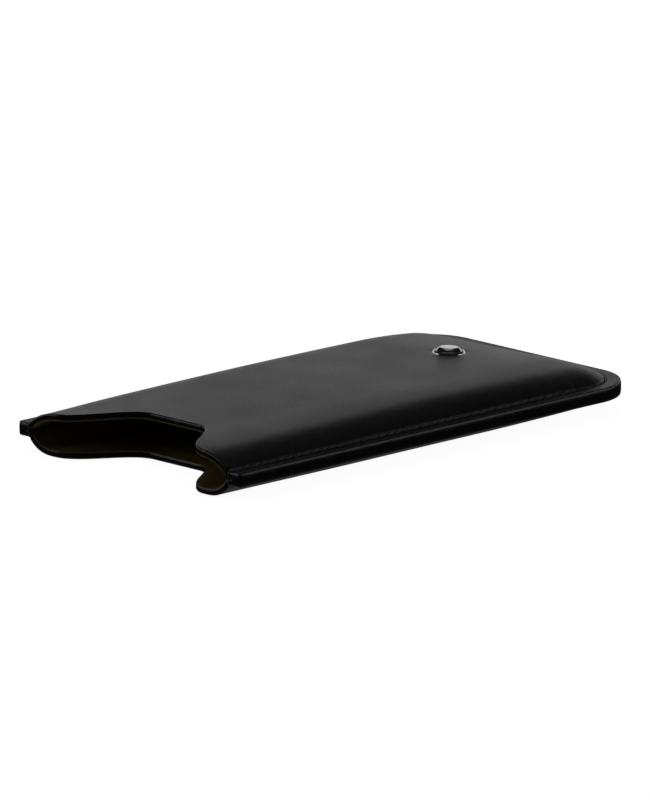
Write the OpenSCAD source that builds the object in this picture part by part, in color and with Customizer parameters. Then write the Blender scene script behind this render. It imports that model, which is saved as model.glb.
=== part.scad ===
// Slip-in leather sleeve, open at one end. Two formed leather panels, each with a stiffener board and a
// lining behind it, are laid face to face, lock-stitched round three sides and trimmed flush. The mouth
// is cut with a thumb notch through both panels, and a domed stud is riveted near the closed end.
//
// Origin: under the middle of the sleeve, on the surface that it lies on. +Z is up through the front
// panel, +Y points from the mouth to the closed end, and X runs across.

/* [Sleeve] */
// Width over the two sewn side edges
case_w = 82; // [76:1:96]
// Length from the mouth to the closed end
case_l = 146; // [125:1:170]
// Radius of the two corners at the closed end
corner_r = 15.6; // [15.5:0.1:22]

/* [Layers] */
// Thickness of one leather panel
leather_t = 1.2; // [1:0.05:1.4]
// Thickness of the lining
lining_t = 0.6; // [0.4:0.05:0.8]
// Thickness of the stiffener board
board_t = 0.25; // [0.2:0.05:0.4]
// Gap between the mouth's edge and the board
board_setback = 3; // [2:0.5:6]

/* [Sewn edge] */
// Width of the flat sewn edge, from the outside to the foot of the bulge
seam_w = 4; // [4:0.1:4.4]
// Bevel along the outside arris
bevel = 0.45; // [0.2:0.05:0.6]
// Distance from the outside to the stitch line
stitch_inset = 3.3; // [3.2:0.05:3.35]
// Width of the groove that the stitches lie in
groove_w = 1.1; // [1:0.05:1.1]
// Depth of that groove
groove_depth = 0.3; // [0.1:0.05:0.4]

/* [Bulge] */
// Rise of the front panel above the sewn edge
bulge_front = 4.1; // [3:0.1:6]
// Drop of the back panel below the sewn edge
bulge_back = 4; // [3:0.1:6]
// Width of the rounded shoulder around the bulge
shoulder_w = 10.9; // [8:0.1:11]
// Extra rise along the middle of the front panel
crown = 0.25; // [0:0.05:1]
// Extra rise half-way along the front panel
front_arch = 0.35; // [0:0.05:0.6]
// Droop of the front panel's flat part towards each side
front_droop = 0.25; // [0:0.05:0.5]
// Share of the front rise that is lost by the closed end
front_fall = 0.65; // [0:0.05:0.7]
// Share of the back drop that is lost by the closed end
back_fall = 0.34; // [0:0.02:0.4]

/* [Thumb notch] */
// Depth of the notch, along the sleeve
notch_depth = 16.1; // [8:0.1:20]
// Width of the notch at the mouth
notch_w = 54.5; // [40:0.5:58]
// Width of the straight floor of the notch
notch_floor_w = 17; // [8:1:24]

/* [Stitching] */
// Distance from one needle hole to the next
stitch_pitch = 3; // [2.6:0.1:4]
// Thickness of the thread
thread_t = 0.4; // [0.3:0.05:0.45]
// Diameter of a needle hole
needle_hole_d = 1.04; // [1:0.02:1.08]
// Distance from the mouth to the first needle hole
first_stitch = 1.6; // [1.2:0.1:4]

/* [Stud] */
// Diameter over the metal bezel
stud_d = 8.9; // [8.5:0.1:12]
// Diameter of the dome
dome_d = 7.3; // [6:0.1:7.4]
// Diameter of the dome's flat top
dome_top_d = 4.9; // [3:0.1:5.5]
// Height of the dome's top above the leather
stud_h = 1.8; // [1.6:0.1:3]
// Distance from the closed end to the middle of the stud
stud_from_end = 27.8; // [20:0.1:40]
// Distance from the sleeve's centre line to the middle of the stud, negative to the left
stud_off = -4.1; // [-12:0.1:12]
// Outside diameter of the hollow post
post_d = 3.2; // [2.8:0.1:4]
// Diameter of the rivet's shank
shank_d = 1.8; // [1.4:0.1:2.2]
// Diameter of the rivet's flat head
rivet_head_d = 7.4; // [6:0.1:9]

/* [Hidden] */

half_w = case_w / 2;
ply_t = leather_t + lining_t;      // one half of the sewn edge
mid_z = ply_t + bulge_back;        // the plane where the two halves meet
straight_l = case_l - corner_r;    // the straight part of the sides

front_fall_start = 0.765;          // where the front starts to slope down, as a share of the length
back_fall_start = 0.6;             // and the back
arch_reach = 0.425;                // the arch's half-length, as a share of the length
droop_start = 0.37;                // where the droop starts, as a share of the half-width
droop_end = 0.8;                   // and where it is complete
shoulder_power = 2.9;              // how quickly the shoulder turns over
shoulder_spread = 1.5;             // bunches the shoulder's stations near the foot of the bulge
shoulder_steps = 6;
middle_columns = 15;               // between the two shoulders
side_rows = 9;                     // from the mouth to the corners
row_spread = 0.65;                 // bunches those rows towards the closed end, where the front slopes
notch_power = 1.77;                // how sharply the notch's slanted sides turn
groove_wall = 0.15;                // run of the groove's two slanted walls
joint_gap = 0.02;                  // between the two threads where they meet

hole_sides = 8;                    // of a needle hole
round_fn = 64;

// ---- One half of the sleeve, seen in section: [distance in from the edge, height, share of the bulge]
function share(u) = 1 - pow(1 - u, shoulder_power);

function profile(edge, bulge) = concat(
    [for (d = edge) [d, 0, 0]],
    [[seam_w, 0, 0]],
    [for (i = [1 : shoulder_steps])
        let (u = pow(i / shoulder_steps, shoulder_spread))
        [seam_w + shoulder_w * u, bulge * share(u), share(u)]]
);

function slope(p, i) = i < 0 || i + 1 >= len(p) ? 0 : atan2(p[i + 1][1] - p[i][1], p[i + 1][0] - p[i][0]);

// The same section at a depth below the outer face, square to that face.
function inset(p, depth) = [
    for (i = [0 : len(p) - 1])
        let (
            before = slope(p, i - 1),
            after = slope(p, i),
            reach = depth / cos((after - before) / 2),
            turn = (after + before) / 2
        )
        [p[i][0] + reach * sin(turn), p[i][1] - reach * cos(turn), p[i][2]]
];

// The outer face's bevel and stitch groove.
groove_in = stitch_inset - groove_w / 2;
groove_out = stitch_inset + groove_w / 2;
leather_edge = [0, bevel, groove_in - groove_wall, groove_in, groove_out];
leather_relief = [-bevel, 0, 0, -groove_depth, -groove_depth];

function relieved(p, relief) = [
    for (i = [0 : len(p) - 1])
        [p[i][0], p[i][1] + (i < len(relief) ? relief[i] : 0), p[i][2]]
];

// ---- Plan shape
function notch_y(x) =
    let (
        v = max(0, min(1, (notch_w / 2 - abs(x)) / (notch_w / 2 - notch_floor_w / 2))),
        floor_side = pow(v, notch_power),
        mouth_side = pow(1 - v, notch_power)
    )
    notch_depth * floor_side / (floor_side + mouth_side);

function fall(y, start) = pow(max(0, (y / case_l - start) / (1 - start)), 2);

function arch(y) = pow(cos(90 * max(-1, min(1, (y / case_l - 0.5) / arch_reach))), 2);

function droop(x) =
    let (u = max(0, min(1, (abs(x) / half_w - droop_start) / (droop_end - droop_start))))
    u * u * (3 - 2 * u);

function front_sag(x, y) =
    crown * (1 - pow(x / half_w, 2)) + front_arch * arch(y) - front_droop * droop(x)
    - bulge_front * front_fall * fall(y, front_fall_start);

function back_sag(x, y) = -bulge_back * back_fall * fall(y, back_fall_start);

// One face of a layer is a grid. A column lies at a station p[k] in from a side, or between the
// shoulders; a row lies part of the way along the sides, or at a station p[k] in from the closed end.
function column_count(p) = 2 * len(p) + middle_columns;

function row_count(p) = 1 + side_rows + len(p);

function station(p, c) = min(c, column_count(p) - 1 - c, len(p) - 1);

function end_station(p, r) = len(p) - 1 - max(0, r - side_rows - 1);

function column_x(p, c) =
    let (
        last = len(p) - 1,
        inner_x = half_w - p[last][0],
        from_left = c - last,
        x = inner_x * (2 * from_left / (middle_columns + 1) - 1)
    )
    c < last ? p[c][0] - half_w
    : c > last + middle_columns + 1 ? half_w - p[column_count(p) - 1 - c][0]
    : x;

// Rows 0 and 1 are the mouth's edge and the board's edge.
function row_y(x, r) =
    let (start = notch_y(x), board_start = start + board_setback)
    r == 0 ? start
    : board_start + (straight_l - board_start) * pow((r - 1) / (side_rows - 1), row_spread);

// In a corner, equal distances in from the side and from the end become rings round its centre.
function corner_point(a, b) =
    let (
        radius = max(a, b),
        angle = a >= b ? 45 * b / a : 90 - 45 * a / b
    )
    [half_w - corner_r + radius * cos(angle), straight_l + radius * sin(angle)];

function plan_point(p, r, c) =
    let (
        x = column_x(p, c),
        k = station(p, c),
        in_middle = c > len(p) - 1 && c < len(p) + middle_columns,
        end_d = p[end_station(p, r)][0],
        corner = corner_point(corner_r - p[k][0], corner_r - end_d)
    )
    r <= side_rows ? [x, row_y(x, r)]
    : in_middle ? [x, case_l - end_d]
    : [sign(x) * corner[0], corner[1]];

// pad is a thickness left for the board, behind the flat middle of the panel.
function grid_point(p, r, c, is_front, pad) =
    let (
        xy = plan_point(p, r, c),
        k = min(station(p, c), r > side_rows ? end_station(p, r) : len(p) - 1),
        sag = is_front ? front_sag(xy[0], xy[1]) : back_sag(xy[0], xy[1]),
        on_board = k == len(p) - 1 && r > 0
    )
    [xy[0], xy[1], p[k][1] + p[k][2] * sag - (on_board ? pad : 0)];

// The closed solid between two faces that have the same stations. It can leave out the outer stations
// and the first rows.
module sheet(outer, inner, is_front, outer_pad, inner_pad, first_station = 0, first_row = 0) {
    rows = [first_row : row_count(outer) - 1 - first_station];
    columns = [first_station : column_count(outer) - 1 - first_station];
    nr = row_count(outer) - first_station - first_row;
    nc = column_count(outer) - 2 * first_station;
    top = [for (r = rows) for (c = columns) grid_point(outer, r, c, is_front, outer_pad)];
    bottom = [for (r = rows) for (c = columns) grid_point(inner, r, c, is_front, inner_pad)];
    under = nr * nc;
    cells = [
        for (r = [0 : nr - 2]) for (c = [0 : nc - 2])
            let (a = r * nc + c, b = a + nc)
            c < (nc - 1) / 2 ? [[a, b, a + 1], [b, b + 1, a + 1]] : [[a, b, b + 1], [a, b + 1, a + 1]]
    ];
    faces_up = [for (cell = cells) for (t = cell) t];
    faces_down = [for (t = faces_up) [t[2] + under, t[1] + under, t[0] + under]];
    rim = concat(
        [for (c = [0 : nc - 2]) c],
        [for (r = [0 : nr - 2]) r * nc + nc - 1],
        [for (c = [nc - 1 : -1 : 1]) (nr - 1) * nc + c],
        [for (r = [nr - 1 : -1 : 1]) r * nc]
    );
    walls = [
        for (i = [0 : len(rim) - 1])
            let (a = rim[i], b = rim[(i + 1) % len(rim)])
            each [[a, b, b + under], [a, b + under, a + under]]
    ];
    polyhedron(concat(top, bottom), concat(faces_up, faces_down, walls));
}

// Places a half, drawn with its sewn edge's outer face at zero height, on its side of the middle plane.
module half(is_front) {
    translate([0, -case_l / 2, mid_z])
        mirror([0, 0, is_front ? 0 : 1])
            translate([0, 0, ply_t])
                children();
}

// ---- Stitch line: from the mouth up the right side, round the closed end and back down the left
line_r = corner_r - stitch_inset;
side_run = straight_l - first_stitch;
corner_run = PI / 2 * line_r;
end_run = case_w - 2 * corner_r;
seam_run = 2 * side_run + 2 * corner_run + end_run;
stitch_count = round(seam_run / stitch_pitch);

// [x, y, heading in degrees] at a distance along the right-hand half of the stitch line
function half_seam(s) =
    s < side_run ? [half_w - stitch_inset, first_stitch + s, 90]
    : s < side_run + corner_run
        ? let (turn = 90 * (s - side_run) / corner_run)
          [half_w - corner_r + line_r * cos(turn), straight_l + line_r * sin(turn), 90 + turn]
    : [half_w - corner_r - (s - side_run - corner_run), case_l - stitch_inset, 180];

function seam(s) =
    s <= seam_run / 2 ? half_seam(s)
    : let (q = half_seam(seam_run - s)) [-q[0], q[1], 360 - q[2]];

// The thread is held at each needle hole, and it starts and ends by wrapping over the mouth's edge.
wrap_run = first_stitch + joint_gap;

function anchor(i) =
    seam(i < 0 ? -wrap_run : i > stitch_count ? seam_run + wrap_run : seam_run * i / stitch_count);

// The holes, and the notches in the mouth's edge that the thread's two ends lie in
module needle_holes() {
    for (i = [0 : stitch_count])
        translate([anchor(i)[0], anchor(i)[1], -2 * ply_t])
            cylinder(d = needle_hole_d, h = 3 * ply_t, $fn = hole_sides);
    for (side = [-1, 1])
        translate([side * (half_w - stitch_inset), 0, -ply_t])
            cube([needle_hole_d, 2 * (thread_t + joint_gap), 3 * ply_t], center = true);
}

// A square thread. It lies in the groove from hole to hole, and goes down and up again at each hole.
module thread() {
    w = thread_t / 2;
    leg_off = w + joint_gap;
    high = ply_t - groove_depth + w;
    low = w + joint_gap / 2;
    // Each bend is [place along the hole, height, which way the section's corner leans].
    bends = [[-1, high, 1], [-1, low, 1], [1, low, -1], [1, high, -1]];
    path = [
        for (i = [-1 : stitch_count + 1])
            let (h = anchor(i), t = [cos(h[2]), sin(h[2]), 0], n = [-t[1], t[0], 0])
            for (k = [0 : 3])
                if (!(i < 0 && k < 2) && !(i > stitch_count && k > 1))
                    let (
                        at = [h[0], h[1], bends[k][1]] + bends[k][0] * leg_off * t,
                        lean = w * ([0, 0, 1] + bends[k][2] * t)
                    )
                    [at + lean + w * n, at + lean - w * n, at - lean - w * n, at - lean + w * n]
    ];
    points = [for (ring = path) each ring];
    last = len(points) - 4;
    skin = [
        for (i = [0 : len(path) - 2]) for (k = [0 : 3])
            let (a = 4 * i + k, b = 4 * i + (k + 1) % 4)
            each [[a, b + 4, b], [a, a + 4, b + 4]]
    ];
    ends = [[0, 1, 2], [0, 2, 3], [last, last + 2, last + 1], [last, last + 3, last + 2]];
    polyhedron(points, concat(skin, ends));
}

// ---- Stud
stud_y = case_l - stud_from_end;
leather_top = ply_t + bulge_front + front_sag(stud_off, stud_y);
seat_sink = 0.15;                          // the bezel is pressed this far into the leather
rivet_sink = 0.1;                          // and the rivet's head this far, from behind
stud_seat = leather_top - seat_sink;
rivet_top = leather_top - leather_t + rivet_sink;
bezel_floor = 0.4;
bezel_wall_h = 0.5;
bezel_lip = (stud_d - dome_d) / 4;         // radius of the rolled rim
dome_edge_h = 0.5;
dome_rise = stud_h + leather_top - stud_seat - bezel_floor - dome_edge_h;
board_hole_d = rivet_head_d + 0.4;

module at_stud(height) {
    translate([stud_off, stud_y - case_l / 2, mid_z + height])
        children();
}

// Room in the leather for the post, the bezel's floor and the rivet's head
module stud_recess() {
    translate([stud_off, stud_y, -ply_t]) {
        translate([0, 0, rivet_top - leather_t])
            cylinder(d = post_d, h = 3 * leather_t, $fn = round_fn);
        translate([0, 0, stud_seat])
            cylinder(d = stud_d, h = leather_t, $fn = round_fn);
        translate([0, 0, rivet_top - leather_t])
            cylinder(d = rivet_head_d, h = leather_t, $fn = round_fn);
    }
}

// ---- Sub-parts
module leather_panel(is_front) {
    face = profile(leather_edge, is_front ? bulge_front : bulge_back);
    sheet(relieved(face, leather_relief), inset(face, leather_t), is_front, 0, 0);
}

module board(is_front) {
    face = profile([0], is_front ? bulge_front : bulge_back);
    back = inset(face, leather_t);
    sheet(back, back, is_front, 0, board_t, first_station = len(face) - 1, first_row = 1);
}

module lining(is_front) {
    face = profile([0], is_front ? bulge_front : bulge_back);
    sheet(inset(face, leather_t), inset(face, ply_t), is_front, board_t, board_t);
}

module front_leather() {
    color([0.05, 0.05, 0.05])
        half(true)
            difference() {
                leather_panel(true);
                needle_holes();
                stud_recess();
            }
}

module back_leather() {
    color([0.05, 0.05, 0.05])
        half(false)
            difference() {
                leather_panel(false);
                needle_holes();
            }
}

module front_board() {
    color([0.45, 0.38, 0.3])
        half(true)
            difference() {
                board(true);
                translate([stud_off, stud_y, 0])
                    cylinder(d = board_hole_d, h = 2 * bulge_front, $fn = round_fn);
            }
}

module back_board() {
    color([0.45, 0.38, 0.3])
        half(false)
            board(false);
}

module front_lining() {
    color([0.32, 0.26, 0.17])
        half(true)
            difference() {
                lining(true);
                needle_holes();
            }
}

module back_lining() {
    color([0.32, 0.26, 0.17])
        half(false)
            difference() {
                lining(false);
                needle_holes();
            }
}

module needle_thread() {
    color([0.03, 0.03, 0.03])
        translate([0, -case_l / 2, mid_z])
            thread();
}

module bobbin_thread() {
    color([0.03, 0.03, 0.03])
        translate([0, -case_l / 2, mid_z])
            mirror([0, 0, 1])
                thread();
}

module stud_bezel() {
    color([0.75, 0.75, 0.77])
        difference() {
            union() {
                at_stud(stud_seat)
                    cylinder(d = stud_d, h = bezel_wall_h, $fn = round_fn);
                at_stud(stud_seat + bezel_wall_h)
                    rotate_extrude($fn = round_fn)
                        translate([dome_d / 2 + bezel_lip, 0])
                            circle(r = bezel_lip, $fn = round_fn);
                at_stud(rivet_top)
                    cylinder(d = post_d, h = stud_seat - rivet_top + bezel_floor, $fn = round_fn);
            }
            at_stud(stud_seat + bezel_floor)
                cylinder(d = dome_d, h = stud_h, $fn = round_fn);
            at_stud(rivet_top - leather_t)
                cylinder(d = shank_d, h = 3 * leather_t, $fn = round_fn);
        }
}

module stud_dome() {
    color([0.75, 0.75, 0.77])
        at_stud(stud_seat + bezel_floor)
            union() {
                cylinder(d = dome_d, h = dome_edge_h, $fn = round_fn);
                translate([0, 0, dome_edge_h])
                    cylinder(d1 = dome_d, d2 = dome_top_d, h = dome_rise, $fn = round_fn);
            }
}

module stud_rivet() {
    color([0.6, 0.6, 0.62])
        union() {
            at_stud(rivet_top - board_t)
                cylinder(d = rivet_head_d, h = board_t, $fn = round_fn);
            at_stud(rivet_top - board_t)
                cylinder(d = shank_d, h = stud_seat + bezel_floor - rivet_top + board_t, $fn = round_fn);
        }
}

front_leather();
front_board();
front_lining();
back_leather();
back_board();
back_lining();
needle_thread();
bobbin_thread();
stud_bezel();
stud_dome();
stud_rivet();
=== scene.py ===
"""A black leather slip-in sleeve with a thumb notch, stitched edges and a flat-topped stud.

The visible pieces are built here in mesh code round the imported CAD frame: the two formed leather panels,
their linings and stiffener boards, the painted edges, both threads of the lock stitch and the stud. Only
the rivet inside the stud stays as the frame has it.
Shapes are worked out in millimetres, in the frame's own axes: +Z up through the front panel, +Y from the
mouth to the closed end.
"""

import math

import bpy
import numpy as np
from mathutils import Matrix, Vector


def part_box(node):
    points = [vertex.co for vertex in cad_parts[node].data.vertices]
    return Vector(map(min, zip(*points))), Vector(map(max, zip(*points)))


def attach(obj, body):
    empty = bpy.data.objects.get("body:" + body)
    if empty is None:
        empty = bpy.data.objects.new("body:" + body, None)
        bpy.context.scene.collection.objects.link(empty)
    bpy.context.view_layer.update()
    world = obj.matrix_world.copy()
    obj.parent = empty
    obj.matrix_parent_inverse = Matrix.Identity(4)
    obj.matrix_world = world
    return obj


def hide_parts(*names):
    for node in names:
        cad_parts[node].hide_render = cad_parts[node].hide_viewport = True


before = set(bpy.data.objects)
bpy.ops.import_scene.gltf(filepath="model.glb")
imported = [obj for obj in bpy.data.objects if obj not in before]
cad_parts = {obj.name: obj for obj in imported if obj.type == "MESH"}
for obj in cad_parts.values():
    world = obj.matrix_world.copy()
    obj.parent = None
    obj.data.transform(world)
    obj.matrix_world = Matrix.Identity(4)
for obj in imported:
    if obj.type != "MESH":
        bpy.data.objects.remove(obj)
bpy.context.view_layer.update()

MM = 0.001


def cad_box(node):
    """Lowest and highest corner of a CAD node, in millimetres."""
    low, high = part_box(node)
    return np.array(low) / MM, np.array(high) / MM


# ---- Driving dimensions, read from the frame -------------------------------------------------------
front_low, front_high = cad_box("front_leather")
back_low = cad_box("back_leather")[0]
front_lining_low = cad_box("front_lining")[0]
back_lining_low = cad_box("back_lining")[0]
thread_high = cad_box("needle_thread")[1]
bezel_low, bezel_high = cad_box("stud_bezel")
dome_low, dome_high = cad_box("stud_dome")

HALF_W = front_high[0]
LENGTH = front_high[1] - front_low[1]
MOUTH_Y = front_low[1]
MID_Z = front_lining_low[2]                 # the plane where the two halves meet
LINING_T = front_low[2] - MID_Z
LEATHER_T = back_lining_low[2] - back_low[2]
PLY_T = LEATHER_T + LINING_T
STUD_X = (bezel_low[0] + bezel_high[0]) / 2
STUD_Y = (bezel_low[1] + bezel_high[1]) / 2 - MOUTH_Y

# ---- Sizes that the frame's boxes don't give -------------------------------------------------------
CORNER_R = 15.6
SEAM_W = 3.85                               # flat sewn edge, to the foot of the bulge
FOOT_TURN = 0.5                             # half the width over which the foot turns up
SHOULDER_FRONT, SHOULDER_BACK = 11.05, 9.5
SHOULDER_POWER = 2.9
CROWN = 0.25                                # of the front, from side to side
ARCH, ARCH_REACH = 0.42, 62                 # slight rise half-way along the front
DROOP_LEFT, DROOP_RIGHT = 0.03, 0.33        # the flat part curves softly down towards each side:
DROOP_START, DROOP_REACH = 16, 10           # by this much over the reach, and then ever faster
FRONT_ROOM, FLOOR_ROOM = 0.12, 0.085        # below the frame's top, before the arch; and off the floor
BULGE_FRONT = front_high[2] - MID_Z - PLY_T - CROWN - FRONT_ROOM
BULGE_BACK = MID_Z - PLY_T - FLOOR_ROOM
FRONT_FALL, FRONT_FALL_START = 0.84, 0.765  # share of the bulge lost at the closed end, and where it starts
FALL_EASED = 0.6                            # share of that fall which the right side doesn't have,
EASED_FROM, EASED_OVER = -12, 46            # and the x where it begins to ease, and over what width
BACK_FALL, BACK_FALL_START = 0.34, 0.6
MOUTH_DROOP, MOUTH_DROOP_X = 0.6, -33       # the front sinks a little by the left mouth corner,
MOUTH_DROOP_W, MOUTH_DROOP_L = 13, 15       # over about this width and length
WAVE_H = 0.025                              # height of the slow waves that handling leaves,
WAVES = ((9, 17, 0), (14, -11, 1.3))        # and for each its reach along x and y and where it starts
NOTCH_DEPTH, NOTCH_W, NOTCH_FLOOR_W, NOTCH_POWER = 16.1, 54.5, 17, 1.77
BOARD_T, BOARD_SETBACK = 0.25, 3
BOARD_MARGIN, BOARD_BLEND = 2.5, 2          # the lining makes room for the board from a little outside it

THREAD_R = 0.23
STITCH_SHIFT = 1.0                          # inwards from the outer side of the frame's thread
STITCH_INSET = HALF_W - thread_high[0] + STITCH_SHIFT
STITCH_PITCH, FIRST_STITCH = 3, 1.6
GROOVE_HALF, GROOVE_DEPTH = 0.6, 0.32
LAND_RISE, LAND_FLAT = 0.02, 1.2            # the strip outside the groove stands slightly proud
DIMPLE_R, DIMPLE_DEPTH = 0.42, 0.2          # the leather drawn down at each needle hole
STUD_PRESS, PRESS_R, PRESS_W = 0.2, 4.4, 0.9    # and pressed down in a ring round the stud

PLY_EDGE = 0.25                             # the plies' cut edge lies this far behind the paint
ARRIS_R = 0.45                              # rounded by the edge iron
PAINT_DEPTH = 0.4                           # how far the paint's dome reaches back over each arris
PAINT_LIP = 0.04                            # and how proud it stands there
PAINT_POWER = 2.8                           # how square the dome is
PAINT_ROOT = PAINT_DEPTH + 0.05             # where its hidden inner face lies
SEAM_PAINT_ROOT, MOUTH_PAINT_ROOT = 0.9, 0.85   # half height of that face, as a share of the dome's
SEAM_PAINT_REACH = 3.7                      # how far in the seam's paint comes along the mouth
SPLIT_START, SPLIT_OVER = 2.9, 0.8          # where it parts there into one dome for each half
MOUTH_PAINT_START = 3.3                     # where each half's own paint takes over
LINING_SETBACK = 0.1                        # of the lining's edge, between the seams
LINING_SEAM_SETBACK = 0.47                  # and in them, behind the paint
LINING_SHOWN = 0.1                          # inner part of the mouth's edge that has no paint
SEAM_ZONE, SEAM_BLEND = 6, 1.5              # width of the lining's edge that counts as the seam
MOUTH_CORNER_R = 0.7
LEFT_PULL = 0.95                            # how far the left mouth corner is pulled forward:
PULL_FROM, PULL_OVER, PULL_FADE = 22, 16, 25    # from this x to the left, and fading away from the mouth

STRAIGHT = LENGTH - CORNER_R                # the straight part of the sides

# ---- Section through one half, from the edge inwards -----------------------------------------------
CROWDING = 1.25                             # samples crowd towards the foot of the shoulder
STEP = 0.01                                 # for slopes taken from small differences


def ramp(x, reach):
    """Zero below -reach and x above reach, with a smooth turn between."""
    return np.where(x < -reach, 0.0, np.where(x > reach, x, (x + reach) ** 2 / (4 * reach)))


def smoothstep(x):
    """An easy rise from 0 at 0 to 1 at 1."""
    x = np.clip(x, 0, 1)
    return x * x * (3 - 2 * x)


def bulge_share(d, shoulder):
    """How much of the full bulge a panel has at a distance d in from its edge."""
    u = np.clip(ramp(d - SEAM_W, FOOT_TURN) / shoulder, 0, 1)
    return 1 - (1 - u) ** SHOULDER_POWER


def relief(d):
    """Height of the arris, the raised strip and the groove, against a flat sewn edge."""
    into = np.clip(PLY_EDGE + ARRIS_R - d, 0, ARRIS_R)
    arris = np.sqrt(ARRIS_R ** 2 - into ** 2) - ARRIS_R
    land = LAND_RISE * (1 - smoothstep((d - LAND_FLAT) / (STITCH_INSET - GROOVE_HALF - LAND_FLAT)))
    into_groove = np.clip((d - STITCH_INSET) / GROOVE_HALF, -1, 1)
    groove = -GROOVE_DEPTH * np.cos(into_groove * math.pi / 2) ** 1.5
    return arris + land + groove


def make_stations(fine):
    """Distances in from the edge at which a panel's section is sampled."""
    counts = (5, 8, 11, 5, 18) if fine else (2, 3, 4, 4, 14)
    arris_count, land_count, groove_count, foot_count, shoulder_count = counts
    groove_start = STITCH_INSET - GROOVE_HALF
    groove_end = STITCH_INSET + GROOVE_HALF
    foot_end = SEAM_W + FOOT_TURN
    bulge_end = SEAM_W + SHOULDER_FRONT
    arris = PLY_EDGE + ARRIS_R * (1 - np.cos(np.linspace(0, math.pi / 2, arris_count)))
    land = np.linspace(arris[-1], groove_start, land_count)[1:]
    groove = np.linspace(groove_start, groove_end, groove_count)[1:]
    foot = np.linspace(groove_end, foot_end, foot_count)[1:]
    shoulder = foot_end + (bulge_end - foot_end) * np.linspace(0, 1, shoulder_count)[1:] ** CROWDING
    return np.concatenate([arris, land, groove, foot, shoulder])


def section(stations, depth, is_front, with_relief):
    """Distance in, height and share of the bulge of a face that lies at a depth below the outer one."""
    bulge = BULGE_FRONT if is_front else BULGE_BACK
    shoulder = SHOULDER_FRONT if is_front else SHOULDER_BACK
    share = bulge_share(stations, shoulder)
    rise = bulge_share(stations + STEP, shoulder) - bulge_share(stations - STEP, shoulder)
    slope = np.arctan2(bulge * rise, 2 * STEP)
    height = bulge * share
    if with_relief:
        height = height + relief(stations)
    return stations + depth * np.sin(slope), height - depth * np.cos(slope), share


# ---- Plan shape ------------------------------------------------------------------------------------


def notch_y(x):
    """The mouth's edge across the width: flat floor, S-shaped sides, straight by the seams."""
    v = np.clip((NOTCH_W / 2 - np.abs(x)) / (NOTCH_W / 2 - NOTCH_FLOOR_W / 2), 0, 1)
    floor_side = v ** NOTCH_POWER
    mouth_side = (1 - v) ** NOTCH_POWER
    return NOTCH_DEPTH * floor_side / (floor_side + mouth_side)


def fall(y, start):
    """From 0 at the start, a share of the length, ever faster to 1 at the closed end."""
    return np.clip((y / LENGTH - start) / (1 - start), 0, None) ** 2


def sag(x, y, is_front):
    """Departure of the bulge from one flat plateau: crown, slope to the closed end, and soft handling."""
    if is_front:
        eased = FALL_EASED * smoothstep((x - EASED_FROM) / EASED_OVER)
        fall_here = FRONT_FALL * (1 - eased) * fall(y, FRONT_FALL_START)
        shape = CROWN * (1 - (x / HALF_W) ** 2) - BULGE_FRONT * fall_here
        along = np.clip((y - LENGTH / 2) / ARCH_REACH, -1, 1)
        shape = shape + ARCH * np.cos(along * math.pi / 2) ** 2
        droop = np.where(x < 0, DROOP_LEFT, DROOP_RIGHT)
        shape = shape - droop * np.clip((np.abs(x) - DROOP_START) / DROOP_REACH, 0, None) ** 2
        off_x, off_y = (x - MOUTH_DROOP_X) / MOUTH_DROOP_W, y / MOUTH_DROOP_L
        shape = shape - MOUTH_DROOP * np.exp(-off_x ** 2 - off_y ** 2)
    else:
        shape = -BULGE_BACK * BACK_FALL * fall(y, BACK_FALL_START)
    phase = 0 if is_front else 2
    waves = sum(np.sin(x / reach_x + y / reach_y + start + phase) for reach_x, reach_y, start in WAVES)
    return shape + WAVE_H * waves


def seam_length():
    """Length of the stitch line, from one side of the mouth round to the other."""
    line_r = CORNER_R - STITCH_INSET
    return 2 * (STRAIGHT - FIRST_STITCH) + math.pi * line_r + 2 * (HALF_W - CORNER_R)


STITCH_COUNT = round(seam_length() / STITCH_PITCH)
STITCH_STEP = seam_length() / STITCH_COUNT


def seam_point(s):
    """x, y and heading at a distance s along the stitch line, from the mouth up the right side."""
    half = seam_length() / 2
    if s > half:
        x, y, heading = seam_point(2 * half - s)
        return -x, y, 2 * math.pi - heading
    line_r = CORNER_R - STITCH_INSET
    side_run = STRAIGHT - FIRST_STITCH
    corner_run = math.pi / 2 * line_r
    if s < side_run:
        return HALF_W - STITCH_INSET, FIRST_STITCH + s, math.pi / 2
    if s < side_run + corner_run:
        turn = (s - side_run) / line_r
        return (HALF_W - CORNER_R + line_r * math.cos(turn), STRAIGHT + line_r * math.sin(turn),
                math.pi / 2 + turn)
    return HALF_W - CORNER_R - (s - side_run - corner_run), LENGTH - STITCH_INSET, math.pi


HOLES = np.array([seam_point(i * STITCH_STEP)[:2] for i in range(STITCH_COUNT + 1)])


def side_rows(fine):
    """Rows along the straight sides, as shares of their length; fine rows bunch up at each needle hole."""
    if not fine:
        return np.linspace(0, 1, 56)
    near_hole = np.array([-0.4, 0, 0.4, 1, 2])
    count = int((STRAIGHT - FIRST_STITCH) / STITCH_STEP)
    y = FIRST_STITCH + STITCH_STEP * np.arange(count + 1)[:, None] + near_hole
    y = np.concatenate([[0, 0.5], y.ravel(), [STRAIGHT]])
    return y[y <= STRAIGHT] / STRAIGHT


def mouth_line(x, setback):
    """The mouth's edge, or a line that lies square behind it by the setback."""
    slope = (notch_y(x + STEP) - notch_y(x - STEP)) / (2 * STEP)
    if setback == LINING_SETBACK:
        in_seam = smoothstep((np.abs(x) - HALF_W + SEAM_ZONE) / SEAM_BLEND)
        setback = setback + in_seam * (LINING_SEAM_SETBACK - LINING_SETBACK)
    return notch_y(x) + setback * np.sqrt(1 + slope ** 2)


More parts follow.
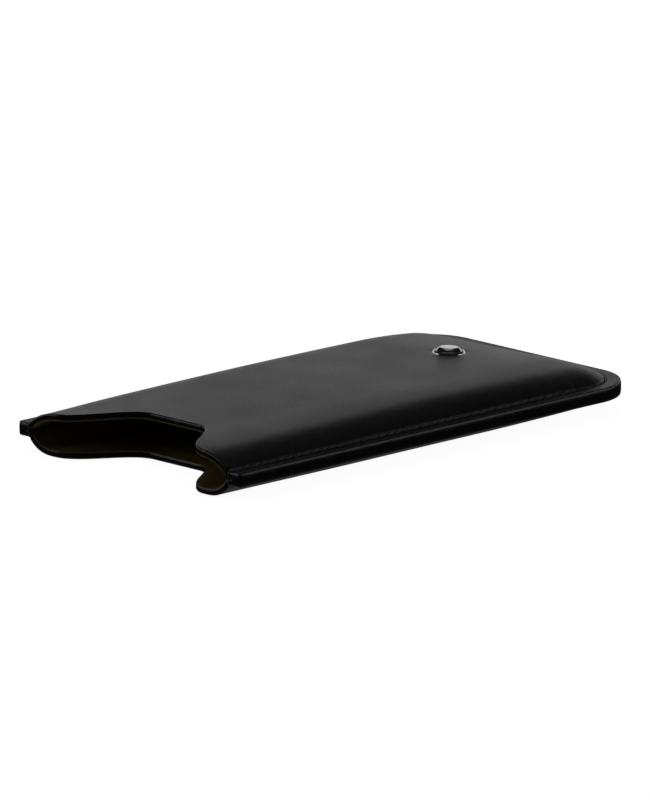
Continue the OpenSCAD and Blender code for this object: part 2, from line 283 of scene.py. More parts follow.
def plan(distance, rows, middle_columns, setback):
    """x and y of a face's grid. In a corner, equal distances from side and end become rings."""
    inner_x = HALF_W - distance[-1]
    middle = np.linspace(-inner_x, inner_x, middle_columns + 2)[1:-1]
    x = np.concatenate([distance - HALF_W, middle, HALF_W - distance[::-1]])
    start = mouth_line(x, setback)
    side_x = np.broadcast_to(x, (len(rows), len(x)))
    side_y = start + (STRAIGHT - start) * rows[:, None]

    count = len(distance)
    from_side = CORNER_R - np.concatenate([distance, np.full(middle_columns, distance[-1]), distance[::-1]])
    from_end = CORNER_R - distance[::-1][:, None]
    radius = np.maximum(from_side, from_end)
    flat = from_side >= from_end
    angle = np.where(flat, from_end / from_side, 2 - from_side / from_end) * math.pi / 4
    end_x = np.sign(x) * (HALF_W - CORNER_R + radius * np.cos(angle))
    end_y = STRAIGHT + radius * np.sin(angle)
    in_middle = np.zeros(len(x), bool)
    in_middle[count:count + middle_columns] = True
    end_x = np.where(in_middle, x, end_x)
    end_y = np.where(in_middle, LENGTH - distance[::-1][:, None], end_y)
    return np.concatenate([side_x, end_x]), np.concatenate([side_y, end_y])


def panel_face(stations, rows, middle_columns, depth, is_front, pad=0.0, finish=False, setback=PLY_EDGE):
    """One face of a ply as a grid of points. pad is room left for the board, behind the flat middle.

    finish adds the arris, the groove, the needle dimples and the press of the stud.
    """
    distance, height, share = section(stations, depth, is_front, with_relief=finish)
    x, y = plan(distance, rows, middle_columns, setback)
    last = len(stations) - 1
    column_station = np.concatenate([np.arange(last + 1), np.full(middle_columns, last),
                                     np.arange(last, -1, -1)])
    row_station = np.concatenate([np.full(len(rows), last), np.arange(last, -1, -1)])
    k = np.minimum(column_station, row_station[:, None])
    z = height[k] + share[k] * sag(x, y, is_front)
    from_mouth = y - notch_y(x)
    inside = smoothstep((distance[k] - distance[-1] + BOARD_MARGIN) / BOARD_BLEND)
    behind_mouth = smoothstep((from_mouth - BOARD_SETBACK / 2) / BOARD_BLEND)
    z = z - pad * (inside * behind_mouth)
    if finish:
        z = z - needle_dimples(x, y)
        if is_front:
            from_stud = np.hypot(x - STUD_X, y - STUD_Y)
            z = z - STUD_PRESS * np.exp(-((from_stud - PRESS_R) / PRESS_W) ** 2)
    side = 1 if is_front else -1
    return np.stack([x, y + MOUTH_Y, MID_Z + side * (PLY_T + z)], -1)


def needle_dimples(x, y):
    """How far the leather is drawn down round the needle holes."""
    drop = np.zeros_like(x)
    for hole_x, hole_y in HOLES:
        squared = (x - hole_x) ** 2 + (y - hole_y) ** 2
        drop += DIMPLE_DEPTH * np.exp(-squared / DIMPLE_R ** 2)
    return drop


# ---- Meshes ----------------------------------------------------------------------------------------


def signed_volume(points, faces):
    """Six times the volume that the faces enclose, negative where they look inwards."""
    total = 0.0
    for i in range(1, faces.shape[1] - 1):
        a, b, c = points[faces[:, 0]], points[faces[:, i]], points[faces[:, i + 1]]
        total += np.einsum("ij,ij->i", a, np.cross(b, c)).sum()
    return total


def handled(points):
    """The soft sleeve isn't quite true: its left mouth corner reaches a little further forward."""
    to_left = smoothstep((-points[:, 0] - PULL_FROM) / PULL_OVER)
    reach = to_left * np.exp((MOUTH_Y - points[:, 1]) / PULL_FADE)
    return points - LEFT_PULL * reach[:, None] * [0, 1, 0]


def mesh_object(name, points, quads, caps=(), sharp=40):
    """A smooth-shaded object in metres. Its faces are turned to look outwards."""
    points = handled(points)
    centred = points - points.mean(0)
    if signed_volume(centred, quads) < 0:
        quads = quads[:, ::-1]
        caps = [cap[::-1] for cap in caps]
    mesh = bpy.data.meshes.new(name)
    mesh.from_pydata((points * MM).tolist(), [], quads.tolist() + [list(map(int, cap)) for cap in caps])
    mesh.shade_smooth()
    mesh.set_sharp_from_angle(angle=math.radians(sharp))
    piece = bpy.data.objects.new(name, mesh)
    bpy.context.scene.collection.objects.link(piece)
    return piece


def slab(name, top, bottom):
    """The closed solid between two grids that have the same rows and columns."""
    rows, columns, _ = top.shape
    index = np.arange(rows * columns).reshape(rows, columns)
    cells = np.stack([index[:-1, :-1], index[:-1, 1:], index[1:, 1:], index[1:, :-1]], -1).reshape(-1, 4)
    under = rows * columns
    rim = np.concatenate([index[0, :-1], index[:-1, -1], index[-1, :0:-1], index[:0:-1, 0]])
    following = np.roll(rim, -1)
    walls = np.stack([rim, rim + under, following + under, following], -1)
    quads = np.concatenate([cells, cells[:, ::-1] + under, walls])
    points = np.concatenate([top.reshape(-1, 3), bottom.reshape(-1, 3)])
    return mesh_object(name, points, quads)


def swept_parts(rings, base=0):
    """Quads along a run of closed rings, and the two caps."""
    count, around, _ = rings.shape
    index = base + np.arange(count * around).reshape(count, around)
    turned = np.roll(index, -1, axis=1)
    quads = np.stack([index[:-1], turned[:-1], turned[1:], index[1:]], -1).reshape(-1, 4)
    return quads, [index[0][::-1], index[-1]]


def swept(name, rings, sharp):
    """The closed solid along one run of rings."""
    quads, caps = swept_parts(rings)
    return mesh_object(name, rings.reshape(-1, 3), quads, caps, sharp)


# ---- Pieces: leather, lining and board -------------------------------------------------------------
FINE, COARSE = make_stations(True), make_stations(False)
FINE_ROWS, COARSE_ROWS = side_rows(True), side_rows(False)
FINE_MIDDLE, COARSE_MIDDLE = 96, 36


def leather_panel(side, is_front):
    """The formed outer leather, with its groove and needle dimples on the show side."""
    top = panel_face(FINE, FINE_ROWS, FINE_MIDDLE, 0, is_front, finish=True)
    bottom = panel_face(FINE, FINE_ROWS, FINE_MIDDLE, LEATHER_T, is_front)
    return slab(side + "_leather_panel", top, bottom)


def lining_panel(side, is_front):
    """The suede glued behind the leather, stepping inwards over the board."""
    shape = dict(pad=BOARD_T, setback=LINING_SETBACK)
    top = panel_face(COARSE, COARSE_ROWS, COARSE_MIDDLE, LEATHER_T, is_front, **shape)
    bottom = panel_face(COARSE, COARSE_ROWS, COARSE_MIDDLE, PLY_T, is_front, **shape)
    return slab(side + "_lining_panel", top, bottom)


def board_panel(side, is_front):
    """The board lies behind the flat middle of the panel, back from the mouth."""
    last = len(COARSE) - 1
    front_row = int(np.searchsorted(COARSE_ROWS * STRAIGHT, BOARD_SETBACK)) + 1
    top = panel_face(COARSE, COARSE_ROWS, COARSE_MIDDLE, LEATHER_T, is_front)
    bottom = panel_face(COARSE, COARSE_ROWS, COARSE_MIDDLE, LEATHER_T, is_front, pad=BOARD_T)
    part = (slice(front_row, len(COARSE_ROWS) + 1), slice(last, top.shape[1] - last))
    return slab(side + "_board_panel", top[part], bottom[part])


# ---- Pieces: painted edges -------------------------------------------------------------------------


def dome_in(h):
    """How far the paint's face lies behind its crest, for h from -1 to 1 across the edge."""
    return PAINT_DEPTH * (1 - (1 - np.abs(h) ** PAINT_POWER) ** (1 / PAINT_POWER))


def outline_points():
    """Plan points and outward normals of the sewn edge, from the mouth's right face to its left one."""
    start_x = HALF_W - SEAM_PAINT_REACH
    points = []
    for x in np.linspace(start_x, HALF_W - MOUTH_CORNER_R, 10)[:-1]:
        points.append((x, 0, 0, -1))
    for turn in np.linspace(-math.pi / 2, 0, 7):
        c, s = math.cos(turn), math.sin(turn)
        points.append((HALF_W - MOUTH_CORNER_R + MOUTH_CORNER_R * c, MOUTH_CORNER_R * (1 + s), c, s))
    for y in np.linspace(MOUTH_CORNER_R, STRAIGHT, 100)[1:-1]:
        points.append((HALF_W, y, 1, 0))
    for turn in np.linspace(0, math.pi / 2, 25):
        c, s = math.cos(turn), math.sin(turn)
        points.append((HALF_W - CORNER_R + CORNER_R * c, STRAIGHT + CORNER_R * s, c, s))
    for x in np.linspace(HALF_W - CORNER_R, 0, 24)[1:]:
        points.append((x, LENGTH, 0, 1))
    right = np.array(points)
    left = right[-2::-1] * [-1, 1, -1, 1]
    return np.concatenate([right, left])


def edge_paint():
    """One domed coat of paint over all four plies, round the sewn edge and both mouth corners."""
    outline = outline_points()
    on_mouth = outline[:, 3] < -0.99
    from_side = np.where(on_mouth, HALF_W - np.abs(outline[:, 0]), PLY_EDGE + ARRIS_R)
    edge_h = PLY_T + PAINT_LIP + relief(np.maximum(from_side, PLY_EDGE + ARRIS_R))
    split = smoothstep((from_side - SPLIT_START) / SPLIT_OVER) * on_mouth
    across = np.cos(np.linspace(0, math.pi, 23))
    rings = []
    for (x, y, nx, ny), h, w in zip(outline, edge_h, split):
        two_domes = dome_in(2 * np.abs(across) - 1)
        back = (1 - w) * dome_in(across) + w * two_domes
        back = np.concatenate([[PAINT_ROOT], back, [PAINT_ROOT]])
        z = np.concatenate([[SEAM_PAINT_ROOT], across, [-SEAM_PAINT_ROOT]]) * h
        ring = np.stack([x - back * nx, MOUTH_Y + y - back * ny, MID_Z + z], -1)
        rings.append(ring)
    return swept("edge_paint", np.array(rings), sharp=60)


def mouth_paint(side, is_front):
    """The domed paint on the mouth's cut edge of one panel. It leaves the inner part of the lining bare."""
    top = panel_face(FINE, FINE_ROWS, FINE_MIDDLE, 0, is_front, setback=0)[0]
    under = panel_face(FINE, FINE_ROWS, FINE_MIDDLE, PLY_T - LINING_SHOWN, is_front, setback=0)[0]
    first = int(np.searchsorted(FINE, MOUTH_PAINT_START))
    keep = slice(first, len(top) - first)
    relief_here = relief(np.minimum(HALF_W - np.abs(top[:, 0]), SEAM_W + 1))
    top[:, 2] += relief_here * (1 if is_front else -1)
    top, under = top[keep], under[keep]
    middle = (top + under) / 2
    half = np.linalg.norm(top - under, axis=1)[:, None] / 2
    across_dir = (top - under) / (2 * half)
    along = np.gradient(middle, axis=0)
    outward = np.cross(across_dir, along)
    outward /= np.linalg.norm(outward, axis=1)[:, None]
    outward *= -np.sign(outward[:, 1:2])
    across = np.cos(np.linspace(0, math.pi, 19))
    back = dome_in(across)
    back = np.concatenate([[PAINT_ROOT], back, [PAINT_ROOT]])
    reach = np.concatenate([[MOUTH_PAINT_ROOT], across * (1 + PAINT_LIP), [-MOUTH_PAINT_ROOT]])
    rings = (middle[:, None] + across_dir[:, None] * (half * reach)[:, :, None]
             - outward[:, None] * back[:, None])
    return swept(side + "_mouth_paint", rings, sharp=60)


# ---- Pieces: stitches ------------------------------------------------------------------------------
LOBE, TWIST = 0.12, 3.2                     # depth of the three plies, and their turn in radians per mm
LIE = PLY_T - GROOVE_DEPTH + THREAD_R * 1.3     # height of a stitch above the middle plane
SLANT = 0.1                                 # of each stitch across the groove, to either side
SLACK, SWING = 0.03, 0.04                   # how far chance moves a stitch up or down, and sideways
DIVE, DIVE_FROM = 0.6, 0.7                  # how deep a stitch's ends go, and from where along it
WRAP_RISE = ((0.12, 0.5), (-0.05, 0.25), (-0.3, 0.05))  # out of the first hole: place along, depth
WRAP_LIES_FROM = 0.5                        # from here to the mouth the last stitch lies in the groove
WRAP_BEND = 0.55                            # and this is its turn over the mouth's edge


def thread_rings(path, twist_start, around=15):
    """Three plies twisted together: a three-lobed section that turns along the path."""
    tangent = np.gradient(path, axis=0)
    tangent /= np.linalg.norm(tangent, axis=1)[:, None]
    sideways = np.cross([0, 0, 1], tangent)
    sideways[np.linalg.norm(sideways, axis=1) < 0.05] = sideways[len(sideways) // 2]
    sideways /= np.linalg.norm(sideways, axis=1)[:, None]
    upward = np.cross(tangent, sideways)
    run = np.concatenate([[0], np.cumsum(np.linalg.norm(np.diff(path, axis=0), axis=1))])
    turn = np.linspace(0, 2 * math.pi, around, endpoint=False)
    twist = twist_start + run[:, None] * TWIST
    radius = THREAD_R * (1 - LOBE + LOBE * np.cos(3 * (turn - twist)))
    return (path[:, None] + sideways[:, None] * (radius * np.cos(turn))[..., None]
            + upward[:, None] * (radius * np.sin(turn))[..., None])


def stitches(name, is_front):
    """Separate stitches in the groove, each slanting a little and diving into its two needle holes."""
    random = np.random.default_rng(7 if is_front else 8)
    side = 1 if is_front else -1
    t = np.linspace(0, 1, 15)
    dive = DIVE * np.clip((np.abs(2 * t - 1) - DIVE_FROM) / (1 - DIVE_FROM), 0, 1) ** 2
    slant = SLANT * (2 * t - 1)
    runs = []
    for i in range(STITCH_COUNT):
        slack = random.uniform(-SLACK, SLACK)
        swing = random.uniform(-SWING, SWING)
        path = []
        for k, share in enumerate(t):
            x, y, heading = seam_point((i + share) * STITCH_STEP)
            off = slant[k] + swing
            path.append((x - off * math.sin(heading), y + off * math.cos(heading) + MOUTH_Y,
                         MID_Z + side * (LIE + slack - dive[k])))
        runs.append(thread_rings(np.array(path), random.uniform(0, 2)))
    for hand in (-1, 1):
        runs.append(thread_rings(mouth_wrap(hand, side), 0.5))
    points, quads, caps, base = [], [], [], 0
    for rings in runs:
        ring_quads, ring_caps = swept_parts(rings, base)
        points.append(rings.reshape(-1, 3))
        quads.append(ring_quads)
        caps.extend(ring_caps)
        base += rings.shape[0] * rings.shape[1]
    return mesh_object(name, np.concatenate(points), np.concatenate(quads), caps, sharp=75)


def mouth_wrap(hand, side):
    """From the first hole along the groove, over the mouth's edge and down to the other half."""
    x = hand * (HALF_W - STITCH_INSET)
    path = [(x, FIRST_STITCH + along, LIE - depth) for along, depth in WRAP_RISE]
    for y in np.linspace(FIRST_STITCH - WRAP_LIES_FROM, WRAP_BEND, 4):
        path.append((x, y, LIE))
    for turn in np.linspace(0, math.pi / 2, 7)[1:]:
        path.append((x, WRAP_BEND * (1 - math.sin(turn)), LIE - WRAP_BEND * (1 - math.cos(turn))))
    for z in np.linspace(LIE - WRAP_BEND, 0, 6)[1:]:
        path.append((x, 0, z))
    path = np.array(path)
    path[:, 1] += MOUTH_Y
    path[:, 2] = MID_Z + side * path[:, 2]
    return path


# ---- Pieces: stud ----------------------------------------------------------------------------------
STUD_SEGMENTS = 96
STUD_TILT = 0.04                            # the stud leans with the leather, towards the closed end


def lathe(name, profile):
    """A closed profile of [radius, height] turned about the stud's axis, leaning with the leather."""
    profile = np.array(profile, float)
    turn = np.linspace(0, 2 * math.pi, STUD_SEGMENTS, endpoint=False)
    radius, height = profile[:, 0], profile[:, 1]
    along_x = radius * np.cos(turn)[:, None]
    along_y = radius * np.sin(turn)[:, None]
    points = np.stack([along_x + STUD_X, along_y + STUD_Y + MOUTH_Y, height - STUD_TILT * along_y], -1)
    index = np.arange(points.shape[0] * points.shape[1]).reshape(points.shape[:2])
    index = np.concatenate([index, index[:1]])
    turned = np.roll(index, -1, axis=1)
    quads = np.stack([index[:-1], turned[:-1], turned[1:], index[1:]], -1).reshape(-1, 4)
    return mesh_object(name, points.reshape(-1, 3), quads)


BEZEL_FLOOR = 0.4                           # thickness of the ring's floor
BEZEL_R = (bezel_high[0] - bezel_low[0]) / 2
DOME_R = (dome_high[0] - dome_low[0]) / 2
SEAT_Z = dome_low[2] - BEZEL_FLOOR
FLARE_R, FLARE_LOW, FLARE_HIGH = 1.92, 20, 45       # the ring's face, and the angles that it turns through
FLARE_FOOT, FOOT_INSET = 0.1, 0.05          # where the face starts, and the small bevel below it
ROLL_R = 0.17
POST_R, SHANK_R = 1.6, 0.9
CAP_ROOM, CAP_EDGE = 0.03, 0.1              # gap round the cap, and the small bevel under it
CAP_SIDE, CAP_FLAT, CAP_CROWN = 0.1, 0.68, 0.03     # upright part, share of flat top and its slight crown
CAP_BEVEL = 1.6                             # 1 would make the shoulder round, 2 a straight bevel
AXIS_R, AXIS_SHARE = 0.02, 0.006            # a pinhole is left at the cap's axis, below and above


def arc(centre, radius, start, end, count):
    """Points along an arc, with its angles in degrees."""
    turn = np.radians(np.linspace(start, end, count))
    return [(centre[0] + radius * math.cos(a), centre[1] + radius * math.sin(a)) for a in turn]


def stud_ring():
    """A pressed ring on a hollow post. Its face flares outwards and is rolled over at the top."""
    flare_centre = (BEZEL_R - FLARE_R * math.cos(math.radians(FLARE_LOW)),
                    SEAT_Z + FLARE_FOOT - FLARE_R * math.sin(math.radians(FLARE_LOW)))
    flare = arc(flare_centre, FLARE_R, FLARE_LOW, FLARE_HIGH, 9)
    roll_centre = (flare[-1][0] - ROLL_R * math.cos(math.radians(FLARE_HIGH)),
                   flare[-1][1] - ROLL_R * math.sin(math.radians(FLARE_HIGH)))
    roll = arc(roll_centre, ROLL_R, FLARE_HIGH, 180, 12)
    profile = [(SHANK_R, bezel_low[2]), (POST_R, bezel_low[2]), (POST_R, SEAT_Z)]
    profile += [(BEZEL_R - FOOT_INSET, SEAT_Z)] + flare + roll
    profile += [(roll[-1][0], SEAT_Z + BEZEL_FLOOR), (SHANK_R, SEAT_Z + BEZEL_FLOOR)]
    return lathe("stud_ring", profile)


def stud_cap():
    """A polished cap with a nearly flat top and a bevelled shoulder."""
    low = dome_low[2]
    edge_r = DOME_R - CAP_ROOM
    profile = [(AXIS_R, low), (edge_r - CAP_EDGE, low), (edge_r, low + CAP_EDGE)]
    side_top = low + CAP_SIDE
    top = dome_high[2] - 2 * STUD_TILT * DOME_R
    flat_r = edge_r * CAP_FLAT
    for turn in np.linspace(0, math.pi / 2, 24):
        profile.append((flat_r + (edge_r - flat_r) * math.cos(turn) ** CAP_BEVEL,
                        side_top + (top - CAP_CROWN - side_top) * math.sin(turn) ** CAP_BEVEL))
    for out in np.linspace(1, AXIS_SHARE, 12)[1:]:
        profile.append((flat_r * out, top - CAP_CROWN * out ** 2))
    return lathe("stud_cap", profile)


# ---- Node helpers ----------------------------------------------------------------------------------


class Shader:
    """Builds one material's node tree around a Principled shader."""

    def __init__(self, name):
        self.material = bpy.data.materials.new(name)
        self.material.use_nodes = True
        self.tree = self.material.node_tree
        self.principled = self.tree.nodes["Principled BSDF"]
        self.place = self.add("ShaderNodeTexCoord").outputs["Object"]

    def add(self, kind, **settings):
        node = self.tree.nodes.new(kind)
        for key, value in settings.items():
            setattr(node, key, value)
        return node

    def link(self, source, target):
        self.tree.links.new(source, target)

    def set(self, **values):
        """Sets the shader's own sockets; an underscore stands for a space."""
        for key, value in values.items():
            self.principled.inputs[key.replace("_", " ")].default_value = value

    def noise(self, size_mm, detail=2.0, rough=0.5, stretch=None):
        """Noise whose features are about size_mm across."""
        node = self.add("ShaderNodeTexNoise")
        node.inputs["Scale"].default_value = 1 / (size_mm * MM)
        node.inputs["Detail"].default_value = detail
        node.inputs["Roughness"].default_value = rough
        place = self.place
        if stretch is not None:
            mapping = self.add("ShaderNodeMapping")
            mapping.inputs["Scale"].default_value = stretch
            self.link(place, mapping.inputs["Vector"])
            place = mapping.outputs["Vector"]
        self.link(place, node.inputs["Vector"])
        return node.outputs["Fac"]

    def cells(self, size_mm):
        """Distance to the edge of irregular cells about size_mm across."""
        node = self.add("ShaderNodeTexVoronoi", feature="DISTANCE_TO_EDGE")
        node.inputs["Scale"].default_value = 1 / (size_mm * MM)
        self.link(self.place, node.inputs["Vector"])
        return node.outputs["Distance"]

    def spread(self, value, low, high, out_low=0.0, out_high=1.0):
        """Maps low..high to out_low..out_high, and holds it at the ends."""
        node = self.add("ShaderNodeMapRange")
        self.link(value, node.inputs["Value"])
        sockets = ("From Min", "From Max", "To Min", "To Max")
        for key, number in zip(sockets, (low, high, out_low, out_high)):
            node.inputs[key].default_value = number
        return node.outputs["Result"]

    def mix(self, factor, first, second):
        node = self.add("ShaderNodeMix", data_type="RGBA")
        self.link(factor, node.inputs["Factor"])
        node.inputs["A"].default_value = (*first, 1)
        node.inputs["B"].default_value = (*second, 1)
        return node.outputs["Result"]

    def math(self, operation, first, second):
        node = self.add("ShaderNodeMath", operation=operation)
        for socket, value in zip(node.inputs, (first, second)):
            if isinstance(value, (int, float)):
                socket.default_value = value
            else:
                self.link(value, socket)
        return node.outputs["Value"]

    def colour(self, value):
        self.link(value, self.principled.inputs["Base Color"])

    def roughness(self, value):
        self.link(value, self.principled.inputs["Roughness"])

    def bump(self, height, depth_mm):
        node = self.add("ShaderNodeBump")
        node.inputs["Distance"].default_value = depth_mm * MM
        self.link(height, node.inputs["Height"])
        self.link(node.outputs["Normal"], self.principled.inputs["Normal"])


# ---- Materials -------------------------------------------------------------------------------------


def black_leather():
    s = Shader("black_leather")
    s.set(Specular_IOR_Level=0.45)
    mottle = s.noise(14, detail=3)
    s.colour(s.mix(s.spread(mottle, 0.3, 0.7), (0.0045, 0.0045, 0.0047), (0.0075, 0.0073, 0.0072)))
    pores = s.spread(s.cells(0.55), 0.0, 0.22)
    fine = s.noise(0.22, detail=2)
    grain = s.math("ADD", pores, s.math("MULTIPLY", fine, 0.6))
    s.roughness(s.spread(s.math("ADD", mottle, s.math("MULTIPLY", fine, 0.5)), 0.4, 1.1, 0.28, 0.37))
    s.bump(grain, 0.03)
    return s.material


def edge_coat():
    s = Shader("edge_coat")
    s.set(Specular_IOR_Level=0.3)
    brushed = s.noise(1.6, detail=3, stretch=(1, 1, 3))
    s.colour(s.mix(s.spread(brushed, 0.3, 0.7), (0.002, 0.002, 0.002), (0.004, 0.0038, 0.0038)))
    s.roughness(s.spread(brushed, 0.3, 0.7, 0.18, 0.28))
    s.bump(brushed, 0.03)
    return s.material


def lining_suede():
    s = Shader("lining_suede")
    s.set(Specular_IOR_Level=0.05)
    nap = s.noise(5, detail=3)
    fibre = s.noise(0.25, detail=4, rough=0.7)
    s.colour(s.mix(s.spread(s.math("ADD", nap, s.math("MULTIPLY", fibre, 0.6)), 0.5, 1.1),
                   (0.14, 0.1, 0.046), (0.24, 0.17, 0.08)))
    s.roughness(s.spread(nap, 0.3, 0.7, 0.85, 1.0))
    s.bump(fibre, 0.06)
    return s.material


def stiffener_board():
    s = Shader("fibre_board")
    flecks = s.noise(0.8, detail=5, rough=0.7)
    s.colour(s.mix(s.spread(flecks, 0.3, 0.7), (0.16, 0.12, 0.08), (0.27, 0.21, 0.14)))
    s.roughness(s.spread(flecks, 0.3, 0.7, 0.8, 0.95))
    s.bump(flecks, 0.03)
    return s.material


def waxed_thread():
    s = Shader("waxed_thread")
    s.set(Specular_IOR_Level=0.6)
    strands = s.noise(0.12, detail=2)
    s.colour(s.mix(s.spread(strands, 0.3, 0.7), (0.012, 0.012, 0.012), (0.03, 0.03, 0.029)))
    s.roughness(s.spread(strands, 0.3, 0.7, 0.35, 0.5))
    s.bump(strands, 0.015)
    return s.material


def bright_metal(name, tone, dull):
    s = Shader(name)
    s.set(Metallic=1.0)
    scuffs = s.noise(0.5, detail=4, rough=0.6, stretch=(1, 3, 1))
    s.colour(s.mix(s.spread(scuffs, 0.3, 0.7), (tone * 0.9,) * 3, (tone, tone, tone * 1.01)))
    s.roughness(s.spread(scuffs, 0.3, 0.75, dull * 0.7, dull * 1.3))
    s.bump(scuffs, 0.002)
    return s.material


def pale_floor():
    """Almost white of itself, so that only a faint shadow shows on it."""
    s = Shader("pale_floor")
    s.set(Emission_Color=(1, 1, 1, 1), Emission_Strength=0.95, Specular_IOR_Level=0.0)
    s.colour(s.mix(s.noise(400, detail=2), (0.68, 0.68, 0.68), (0.7, 0.7, 0.7)))
    s.roughness(s.spread(s.noise(300), 0, 1, 0.9, 1.0))
    return s.material


# ---- Assembly --------------------------------------------------------------------------------------


def finish_piece(piece, material, slot_name, *nodes):
    piece.data.materials.clear()
    piece.data.materials.append(material)
    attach(piece, "root")
    if nodes:
        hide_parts(*nodes)


def build_sleeve():
    leather, coat = black_leather(), edge_coat()
    suede, board, thread = lining_suede(), stiffener_board(), waxed_thread()
    for side, is_front in (("front", True), ("back", False)):
        finish_piece(leather_panel(side, is_front), leather, "black_leather", side + "_leather")
        finish_piece(lining_panel(side, is_front), suede, "lining", side + "_lining")
        finish_piece(board_panel(side, is_front), board, "stiffener_board", side + "_board")
        finish_piece(mouth_paint(side, is_front), coat, "black_leather")
    finish_piece(edge_paint(), coat, "black_leather")
    finish_piece(stitches("needle_stitches", True), thread, "thread", "needle_thread")
    finish_piece(stitches("bobbin_stitches", False), thread, "thread", "bobbin_thread")
    finish_piece(stud_ring(), bright_metal("bezel_metal", 0.72, 0.16), "bezel_metal", "stud_bezel")
    finish_piece(stud_cap(), bright_metal("dome_metal", 0.6, 0.1), "dome_metal", "stud_dome")
    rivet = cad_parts["stud_rivet"]
    rivet.data.materials.clear()
    rivet.data.materials.append(bright_metal("rivet_steel", 0.6, 0.35))


# ---- Floor, light and camera -----------------------------------------------------------------------
AZIMUTH, ELEVATION, ROLL = math.radians(46.217), math.radians(13.606), math.radians(-0.267)

CAMERA_DISTANCE, LENS, SENSOR_W = 3300, 572.8, 36
AIM_RIGHT, AIM_UP = -2.69, 1.65             # from the sleeve's middle, in mm across the picture
CLIP_START, CLIP_END = 0.1, 100             # in metres, like the floor's half width
FLOOR_HALF = 8.0

# Light against elevation in degrees: what comes from all round, and what the wall behind the sleeve
# adds. A small share of the wall is left in front; it fades to that between the two cosines.
AROUND = [(-90, 0.2), (-48, 0.25), (-30, 0.08), (-14, 0.01), (0, 0.012), (30, 0.01), (90, 0.01)]
WALL = [(-6, 0), (2, 0.68), (12, 0.68), (18, 0.14), (24, 0.0)]
WALL_IN_FRONT = 0.09
WALL_FADE_END, WALL_FADE_START = -0.2, 0.25

# Two soft lights, to the left and right of the camera. Each is placed by the tilt at which an arris
# mirrors it to the camera: that of the sewn edge on the right, and that of the mouth on the left.
SIDE_LIGHT = 1.0
SIDE_TILT = math.radians(71)
SIDE_CORE, SIDE_EDGE = math.radians(7), math.radians(20)

# A broad soft light high behind the sleeve. It shows the leather when seen from above.
TOP_LIGHT = 0.32
TOP_ELEVATION = math.radians(73)
TOP_CORE, TOP_EDGE = math.radians(10), math.radians(26)


def make_floor():
    half = FLOOR_HALF
    corners = [(-half, -half, 0), (half, -half, 0), (half, half, 0), (-half, half, 0)]
    mesh = bpy.data.meshes.new("floor")
    mesh.from_pydata(corners, [], [(0, 1, 2, 3)])
    floor = bpy.data.objects.new("floor", mesh)
    bpy.context.scene.collection.objects.link(floor)
    floor.data.materials.append(pale_floor())
    floor.visible_glossy = False
    floor.visible_diffuse = False


def elevation_ramp(tree, height, levels):
    """Light against elevation above the horizon, from a list of [degrees, level]."""
    stops_node = tree.nodes.new("ShaderNodeValToRGB")
    scaled = tree.nodes.new("ShaderNodeMath")
    scaled.operation = "MULTIPLY_ADD"
    scaled.inputs[1].default_value = 0.5
    scaled.inputs[2].default_value = 0.5
    tree.links.new(height, scaled.inputs[0])
    tree.links.new(scaled.outputs[0], stops_node.inputs["Fac"])
    stops = stops_node.color_ramp.elements
    while len(stops) < len(levels):
        stops.new(0.5)
    for stop, (elevation, level) in zip(stops, levels):
        stop.position = 0.5 + 0.5 * math.sin(math.radians(elevation))
        stop.color = (level, level, level, 1)
    return stops_node.outputs["Color"]


def towards(tree, direction, way, start, end, low, high):
    """A smooth step in how closely a direction follows the given way."""
    along = tree.nodes.new("ShaderNodeVectorMath")
    along.operation = "DOT_PRODUCT"
    along.inputs[1].default_value = way
    tree.links.new(direction, along.inputs[0])
    step = tree.nodes.new("ShaderNodeMapRange")
    step.interpolation_type = "SMOOTHSTEP"
    for key, number in (("From Min", start), ("From Max", end), ("To Min", low), ("To Max", high)):
        step.inputs[key].default_value = number
    tree.links.new(along.outputs["Value"], step.inputs["Value"])
    return step.outputs["Result"]


def round_light(tree, direction, way, core, edge, level):
    """Full brightness within the core angle round the way, and nothing beyond the edge angle."""
    return towards(tree, direction, way, math.cos(edge), math.cos(core), 0.0, level)


def vector_step(tree, operation, first, second):
    node = tree.nodes.new("ShaderNodeVectorMath")
    node.operation = operation
    tree.links.new(first, node.inputs[0])
    tree.links.new(second, node.inputs["Scale" if operation == "SCALE" else 1])
    return node.outputs["Vector"]


def camera_way():
    """The direction from the sleeve to the camera."""
    return Vector((math.sin(AZIMUTH) * math.cos(ELEVATION), -math.cos(AZIMUTH) * math.cos(ELEVATION),
                   math.sin(ELEVATION)))


def mirrored_way(normal):
    """The direction that a face with this normal mirrors to the camera."""
    to_camera = camera_way()
    return 2 * normal.dot(to_camera) * normal - to_camera


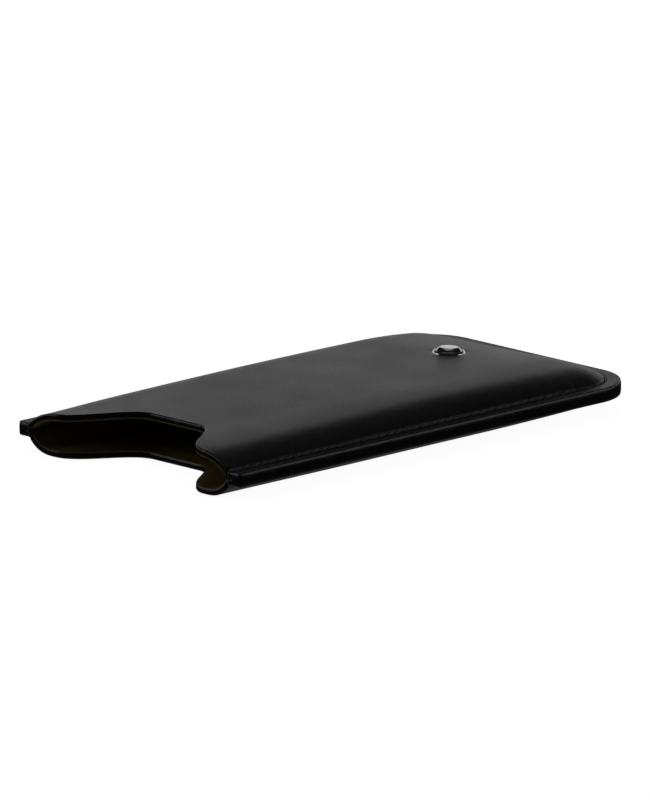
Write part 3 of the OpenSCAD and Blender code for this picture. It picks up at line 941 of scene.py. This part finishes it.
def make_sky():
    """A soft studio: a low bright wall behind, a faint one in front, two side lights and one high up."""
    world = bpy.data.worlds.new("studio")
    bpy.context.scene.world = world
    world.use_nodes = True
    tree = world.node_tree
    direction = tree.nodes.new("ShaderNodeTexCoord").outputs["Generated"]
    parts = tree.nodes.new("ShaderNodeSeparateXYZ")
    tree.links.new(direction, parts.inputs["Vector"])
    light = elevation_ramp(tree, parts.outputs["Z"], AROUND)
    wall = elevation_ramp(tree, parts.outputs["Z"], WALL)
    ahead = Vector((-math.sin(AZIMUTH), math.cos(AZIMUTH), 0))
    behind = towards(tree, direction, ahead, WALL_FADE_END, WALL_FADE_START, WALL_IN_FRONT, 1.0)
    light = vector_step(tree, "ADD", light, vector_step(tree, "SCALE", wall, behind))
    for sideways in (Vector((1, 0, 0)), Vector((0, -1, 0))):
        normal = sideways * math.sin(SIDE_TILT) + Vector((0, 0, math.cos(SIDE_TILT)))
        side_light = round_light(tree, direction, mirrored_way(normal), SIDE_CORE, SIDE_EDGE, SIDE_LIGHT)
        light = vector_step(tree, "ADD", light, side_light)
    top_way = ahead * math.cos(TOP_ELEVATION) + Vector((0, 0, math.sin(TOP_ELEVATION)))
    top_light = round_light(tree, direction, top_way, TOP_CORE, TOP_EDGE, TOP_LIGHT)
    light = vector_step(tree, "ADD", light, top_light)
    tree.links.new(light, tree.nodes["Background"].inputs["Color"])


def make_camera():
    right = Vector((math.cos(AZIMUTH), math.sin(AZIMUTH), 0))
    ahead = -camera_way()
    up = right.cross(ahead)
    tilted_right = right * math.cos(ROLL) + up * math.sin(ROLL)
    tilted_up = up * math.cos(ROLL) - right * math.sin(ROLL)
    middle = Vector((0, MOUTH_Y + LENGTH / 2, MID_Z))
    aim = middle + tilted_right * AIM_RIGHT + tilted_up * AIM_UP
    place = aim - ahead * CAMERA_DISTANCE
    camera = bpy.data.objects.new("camera", bpy.data.cameras.new("camera"))
    bpy.context.scene.collection.objects.link(camera)
    turn = Matrix((tilted_right, tilted_up, -ahead)).transposed()
    camera.matrix_world = Matrix.Translation(place * MM) @ turn.to_4x4()
    camera.data.sensor_width = SENSOR_W
    camera.data.lens = LENS
    camera.data.clip_start = CLIP_START
    camera.data.clip_end = CLIP_END
    bpy.context.scene.camera = camera


build_sleeve()
make_floor()
make_sky()
make_camera()
bpy.context.scene.view_settings.view_transform = "Standard"
